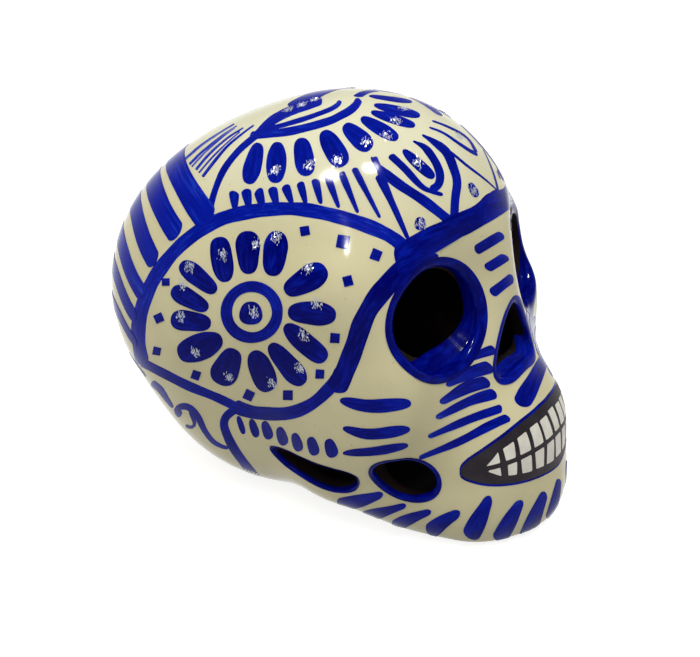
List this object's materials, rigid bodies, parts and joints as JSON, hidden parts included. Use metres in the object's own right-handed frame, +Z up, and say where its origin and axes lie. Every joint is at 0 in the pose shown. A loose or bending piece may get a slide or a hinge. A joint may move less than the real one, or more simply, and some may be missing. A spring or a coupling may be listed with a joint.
{
  "type": "ceramic skull ornament",
  "caption": "Hollow glazed ceramic skull with open eyes, nose, cheek holes and jaw slots, brush-painted in cobalt blue; stands free as a seasonal decoration.",
  "frame": {"origin": "on the surface that the skull stands on, under the middle of its box", "axes": "+Z up; the face looks along -Y, so Y is the long way from face to back; the skull's own right side is at -X"},
  "size_m": [0.1068, 0.1546, 0.1247],
  "materials": {
    "cream_glaze": "clear gloss over cream earthenware",
    "bare_clay": "unglazed clay, stained dark inside",
    "cobalt_paint": "brushed cobalt under the gloss",
    "mouth_black": "satin black cold paint",
    "tooth_white": "satin white cold paint",
    "silver_glitter": "silver flakes in clear glue"
  },
  "bodies": {
    "root": {"face_moulding": "cream_glaze", "jaw_moulding": "cream_glaze", "back_moulding": "cream_glaze", "back_seam_coil": "bare_clay", "jaw_seam_coil": "bare_clay"}
  },
  "joints": []
}
